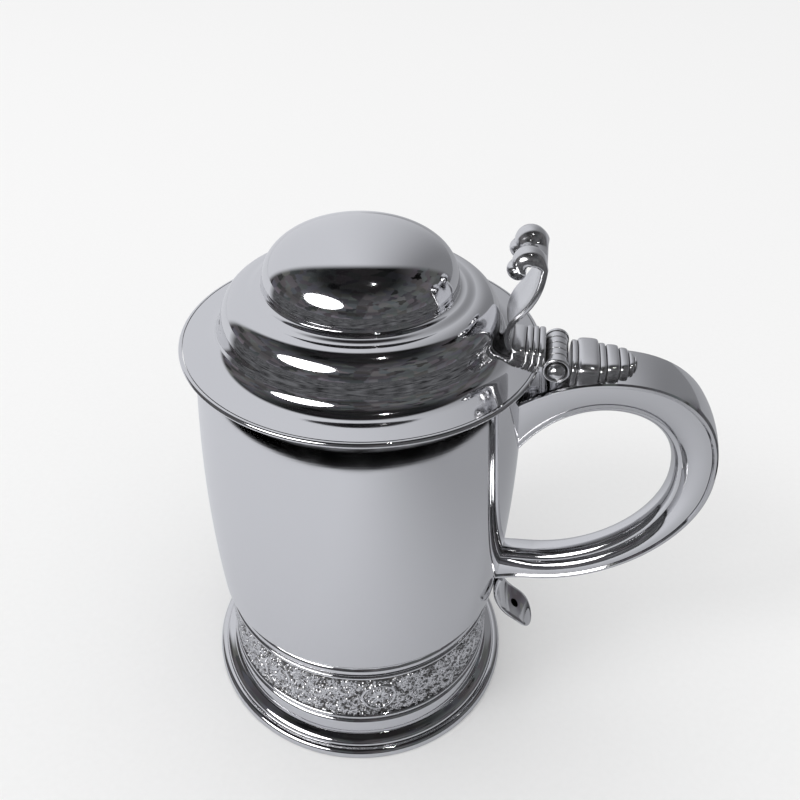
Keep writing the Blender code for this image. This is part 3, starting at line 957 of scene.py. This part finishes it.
def ranged(tree, value, start, end, low=0.0, high=1.0, smooth=False):
    """Turns start into low and end into high, in a straight line or an S between them."""
    kind = "SMOOTHSTEP" if smooth else "LINEAR"
    inputs = {0: value, 1: start, 2: end, 3: low, 4: high}
    return add_node(tree, "ShaderNodeMapRange", inputs, interpolation_type=kind).outputs[0]


def mixed_colour(tree, share, first, second, blend="MIX"):
    inputs = {0: share, 6: first, 7: second}
    return add_node(tree, "ShaderNodeMix", inputs, data_type="RGBA", blend_type=blend).outputs[2]


def mixed_value(tree, share, first, second):
    return add_node(tree, "ShaderNodeMix", {0: share, 2: first, 3: second}, data_type="FLOAT").outputs[0]


def from_axis(tree, place):
    """A place's distance from the axis, in metres."""
    flat = add_node(tree, "ShaderNodeVectorMath", {0: place, 1: (1.0, 1.0, 0.0)}, operation="MULTIPLY")
    return vector_value(tree, "LENGTH", flat.outputs[0])


def turned_place(tree, place):
    """A place without its direction from the axis, so that marks made from it run round like a lathe's."""
    height = add_node(tree, "ShaderNodeSeparateXYZ", {0: place}).outputs[2]
    return add_node(tree, "ShaderNodeCombineXYZ", {0: from_axis(tree, place), 2: height}).outputs[0]


def tarnish_and_shade_share(tree, place, tarnish_and_shade_strength, tarnish_and_shade_reach, ground):
    """How much dark tarnish and painted shade there is: it grows in hollows where occlusion shades them,
    and covers a chased ground if there is one.
    """
    openness = add_node(
        tree, "ShaderNodeAmbientOcclusion", {"Distance": tarnish_and_shade_reach}, samples=8, only_local=False,
    ).outputs["AO"]
    # Painted shade with tarnish: the base colour darkens wherever ambient occlusion finds a hollow.
    in_hollows = ranged(tree, openness, 0.15, 0.75, tarnish_and_shade_strength, 0.0)
    if ground is None:
        return in_hollows
    # Painted shade with tarnish: the whole chased ground below the relief is darkened.
    on_ground = ranged(tree, from_axis(tree, place), ground + 0.15 * MM, ground + 0.75 * MM, tarnish_and_shade_strength, 0.0)
    return math_node(tree, "MAXIMUM", in_hollows, on_ground)


def silver(name, roughness, tarnish_and_shade_strength, tarnish_and_shade_reach, turned_marks=False, ground=None):
    """Polished white metal: faint polishing marks, smudges, slow waves, and dark tarnish with painted shade
    in the hollows.

    Lengths are in metres. Ground is a chased ground's distance from the axis.
    """
    material = bpy.data.materials.new(name)
    material.use_nodes = True
    tree = material.node_tree
    shader = tree.nodes["Principled BSDF"]
    shader.inputs["Metallic"].default_value = 1.0
    place = add_node(tree, "ShaderNodeTexCoord").outputs["Object"]
    tarnish_and_shade_mix = tarnish_and_shade_share(tree, place, tarnish_and_shade_strength, tarnish_and_shade_reach, ground)
    # The base colour mixes towards the dark colour, which stands for tarnish and for painted shade in
    # hollows.
    tree.links.new(mixed_colour(tree, tarnish_and_shade_mix, METAL, TARNISH_AND_SHADE), shader.inputs["Base Color"])

    smudge = ranged(tree, noise(tree, place, 55.0, 4.0), 0.35, 0.75, 0.0, 0.05)
    clean = math_node(tree, "ADD", smudge, roughness)
    rough = math_node(tree, "ADD", clean, math_node(tree, "MULTIPLY", tarnish_and_shade_mix, 0.25))
    tree.links.new(rough, shader.inputs["Roughness"])

    waves = {"Strength": 0.12, "Distance": 0.6 * MM, "Height": noise(tree, place, 38.0, 1.0)}
    wavy = add_node(tree, "ShaderNodeBump", waves).outputs[0]
    scratched = turned_place(tree, place) if turned_marks else place
    marks = {"Strength": 0.06, "Distance": 0.02 * MM, "Height": noise(tree, scratched, 2600.0, 2.0)}
    marked = add_node(tree, "ShaderNodeBump", {**marks, "Normal": wavy}).outputs[0]
    tree.links.new(marked, shader.inputs["Normal"])
    return material


# The stage.


def toward(azimuth, elevation):
    """A direction from the object. Azimuth 0 is towards the camera and grows to the picture's left."""
    turn = math.radians(CAMERA_AZIMUTH - azimuth)
    rise = math.radians(elevation)
    return Vector((math.sin(turn) * math.cos(rise), -math.cos(turn) * math.cos(rise), math.sin(rise)))


def cool_grey(tree, level):
    """A grey of this level with a little blue in it."""
    blue = math_node(tree, "MULTIPLY", level, 1.05)
    red = math_node(tree, "MULTIPLY", level, 0.985)
    return add_node(tree, "ShaderNodeCombineColor", {0: red, 1: level, 2: blue}).outputs[0]


def dark_room(tree, direction, height):
    """The room's colour: bands of brightness by height, broken up by patches of muted colour."""
    ramp = add_node(tree, "ShaderNodeValToRGB", {0: ranged(tree, height, -1.0, 1.0)})
    elements = ramp.color_ramp.elements
    elements[0].position = ROOM_LEVELS[0][0]
    elements[1].position = ROOM_LEVELS[-1][0]
    for position, _ in ROOM_LEVELS[1:-1]:
        elements.new(position)
    for element, (_, level) in zip(elements, ROOM_LEVELS):
        element.color = (level, level, level * 1.06, 1.0)
    patches = add_node(
        tree, "ShaderNodeTexVoronoi", {"Vector": direction, "Scale": 6.5, "Randomness": 0.8},
        distance="CHEBYCHEV",
    ).outputs["Color"]
    muted = add_node(
        tree, "ShaderNodeHueSaturation", {"Saturation": 0.12, "Value": 1.6, "Color": patches},
    ).outputs[0]
    return mixed_colour(tree, 1.0, ramp.outputs[0], muted, "MULTIPLY")


def wall_share(tree, direction, height):
    """1 towards the pale wall behind the object, above the table's level, and 0 elsewhere."""
    behind = vector_value(tree, "DOT_PRODUCT", direction, toward(180, WALL_ELEVATION))
    outside = math.cos(math.radians(WALL_SPREAD + 4))
    inside = math.cos(math.radians(WALL_SPREAD - 4))
    wall = ranged(tree, behind, outside, inside, smooth=True)
    above = ranged(tree, height, -0.14, -0.06, smooth=True)
    return math_node(tree, "MULTIPLY", wall, above)


def wall_colour(tree, direction):
    """The wall gets dimmer to the right."""
    left = vector_value(tree, "DOT_PRODUCT", direction, toward(90, 0))
    return cool_grey(tree, ranged(tree, left, -0.65, 0.15, 0.24, 0.72, smooth=True))


def build_room():
    """The world: a pale backdrop to the eye and even light on matt things. Reflections see a pale wall
    behind the object and a dark room everywhere else."""
    world = bpy.data.worlds.new("room")
    bpy.context.scene.world = world
    world.use_nodes = True
    tree = world.node_tree
    direction = add_node(tree, "ShaderNodeTexCoord").outputs["Generated"]
    height = add_node(tree, "ShaderNodeSeparateXYZ", {0: direction}).outputs[2]
    room = dark_room(tree, direction, height)
    wall = wall_colour(tree, direction)
    reflected = mixed_colour(tree, wall_share(tree, direction, height), room, wall)

    rays = add_node(tree, "ShaderNodeLightPath")
    ambient = (AMBIENT, AMBIENT, AMBIENT, 1.0)
    backdrop = (PALE, PALE, PALE, 1.0)
    lighting = mixed_colour(tree, rays.outputs["Is Glossy Ray"], ambient, reflected)
    seen = mixed_colour(tree, rays.outputs["Is Camera Ray"], lighting, backdrop)
    tree.links.new(seen, tree.nodes["Background"].inputs["Color"])


def add_light(name, azimuth, elevation, distance, width, height, power):
    """A soft oval panel that faces the middle of the object. Lengths are in metres, power in watts."""
    lamp = bpy.data.lights.new(name, "AREA")
    lamp.shape = "ELLIPSE"
    lamp.size = width
    lamp.size_y = height
    lamp.energy = power
    obj = bpy.data.objects.new(name, lamp)
    direction = toward(azimuth, elevation)
    middle = Vector((0.0, 0.0, 0.1))
    obj.location = middle + direction * distance
    obj.rotation_euler = direction.to_track_quat("Z", "Y").to_euler()
    obj.visible_camera = False
    bpy.context.scene.collection.objects.link(obj)
    return obj


def build_lights():
    """The window and the spot are only seen in reflections. The lamp only lights the table."""
    window = add_light("window", 45, 33, distance=1.3, width=1.0, height=0.60, power=9.0)
    spot = add_light("spot", -47, 77, distance=1.6, width=0.05, height=0.05, power=0.6)
    lamp = add_light("lamp", 65, 42, distance=4.0, width=1.2, height=1.2, power=26.0)
    window.visible_diffuse = False
    spot.visible_diffuse = False
    lamp.visible_glossy = False


def reflected_level(tree, place):
    """How bright reflections see the table: painted shade makes it dimmer to the right, and a dark room
    past TABLE_EDGE, which they see everywhere but behind the object."""
    rightwards = vector_value(tree, "DOT_PRODUCT", place, toward(-90, 0))
    # Painted shade: the table's colour, as reflections see it, falls off to the right.
    shaded_near = ranged(tree, rightwards, -0.06, 0.22, 0.76, 0.42, smooth=True)
    forwards = vector_value(tree, "DOT_PRODUCT", place, toward(0, 0))
    distance = vector_value(tree, "LENGTH", place)
    facing = ranged(tree, math_node(tree, "DIVIDE", forwards, distance), -0.45, -0.30)
    past_edge = ranged(tree, distance, TABLE_EDGE - 0.006, TABLE_EDGE, smooth=True)
    clutter = ranged(tree, noise(tree, place, 9.0, 3.0), 0.35, 0.7, 0.03, 0.20)
    depth = ranged(tree, distance, 1.12 * TABLE_EDGE, 1.3 * TABLE_EDGE)
    far = math_node(tree, "MULTIPLY", clutter, depth)
    return mixed_value(tree, math_node(tree, "MULTIPLY", past_edge, facing), shaded_near, far)


def table_paper():
    """Matt white paper with faint fibres. To reflections it shows painted shade, dimmer to the right."""
    material = bpy.data.materials.new("table_paper")
    material.use_nodes = True
    tree = material.node_tree
    shader = tree.nodes["Principled BSDF"]
    shader.inputs["Roughness"].default_value = 0.9
    shader.inputs["Specular IOR Level"].default_value = 0.0
    place = add_node(tree, "ShaderNodeTexCoord").outputs["Object"]
    glossy = add_node(tree, "ShaderNodeLightPath").outputs["Is Glossy Ray"]
    white = ranged(tree, noise(tree, place, 400.0, 3.0), 0.2, 0.8, 0.885, 0.905)
    shade = mixed_value(tree, glossy, 1.0, reflected_level(tree, place))
    tone = math_node(tree, "MULTIPLY", white, shade)
    plain = add_node(tree, "ShaderNodeCombineColor", {0: tone, 1: tone, 2: tone}).outputs[0]
    tree.links.new(mixed_colour(tree, glossy, plain, cool_grey(tree, tone)), shader.inputs["Base Color"])
    return material


def build_table():
    """A square table top that reaches 6 m to each side."""
    half = 6.0
    corners = [(-half, -half, 0.0), (half, -half, 0.0), (half, half, 0.0), (-half, half, 0.0)]
    mesh = bpy.data.meshes.new("table_top")
    mesh.from_pydata(corners, [], [(0, 1, 2, 3)])
    mesh.materials.append(table_paper())
    table = bpy.data.objects.new("table_top", mesh)
    bpy.context.scene.collection.objects.link(table)


def build_camera():
    camera = bpy.data.cameras.new("camera")
    camera.lens = CAMERA_LENS
    camera.shift_x = CAMERA_SHIFT
    obj = bpy.data.objects.new("camera", camera)
    stand = toward(0, 0) * CAMERA_DISTANCE * RADIUS
    obj.location = (stand.x, stand.y, CAMERA_HEIGHT * RADIUS)
    obj.rotation_euler = toward(0, CAMERA_PITCH).to_track_quat("Z", "Y").to_euler()
    bpy.context.scene.collection.objects.link(obj)
    bpy.context.scene.camera = obj


def dress_cad_nodes(material):
    """Gives the metal to the CAD nodes, so that any node that no piece stands for has a material."""
    for node in frame["nodes"].values():
        node.data.materials.clear()
        node.data.materials.append(material)


def main():
    turned = {"roughness": 0.035, "tarnish_and_shade_strength": 0.75, "tarnish_and_shade_reach": 1.2 * MM, "turned_marks": True}
    plain = silver("polished_metal", **turned)
    # The chased band's ground is darkened, for tarnish and for painted shade between the relief.
    ornament = silver(
        "chased_metal", roughness=0.12, tarnish_and_shade_strength=0.92, tarnish_and_shade_reach=1.2 * MM,
        ground=reach("ornament_band") * RADIUS,
    )
    handle = silver("handle_metal", roughness=0.06, tarnish_and_shade_strength=0.75, tarnish_and_shade_reach=1.5 * MM)
    lid = silver("lid_metal", **turned)
    # The cast pieces take their painted shade from further off, which darkens the inside of the
    # thumbpiece's roll.
    cast = silver("cast_metal", roughness=0.17, tarnish_and_shade_strength=0.88, tarnish_and_shade_reach=3.5 * MM)
    dress_cad_nodes(plain)
    build_drum(plain)
    build_mouth(plain)
    build_foot(plain)
    build_band(ornament)
    build_lid_cover(lid)
    build_lid_rings(lid)
    build_knuckles(cast)
    build_caps(cast)
    build_handle(handle)
    build_terminal(handle)
    build_handle_plate(cast)
    build_lid_plate(cast)
    build_thumbpiece(cast)
    build_room()
    build_lights()
    build_table()
    build_camera()
    bpy.context.scene.view_settings.view_transform = "Standard"


main()
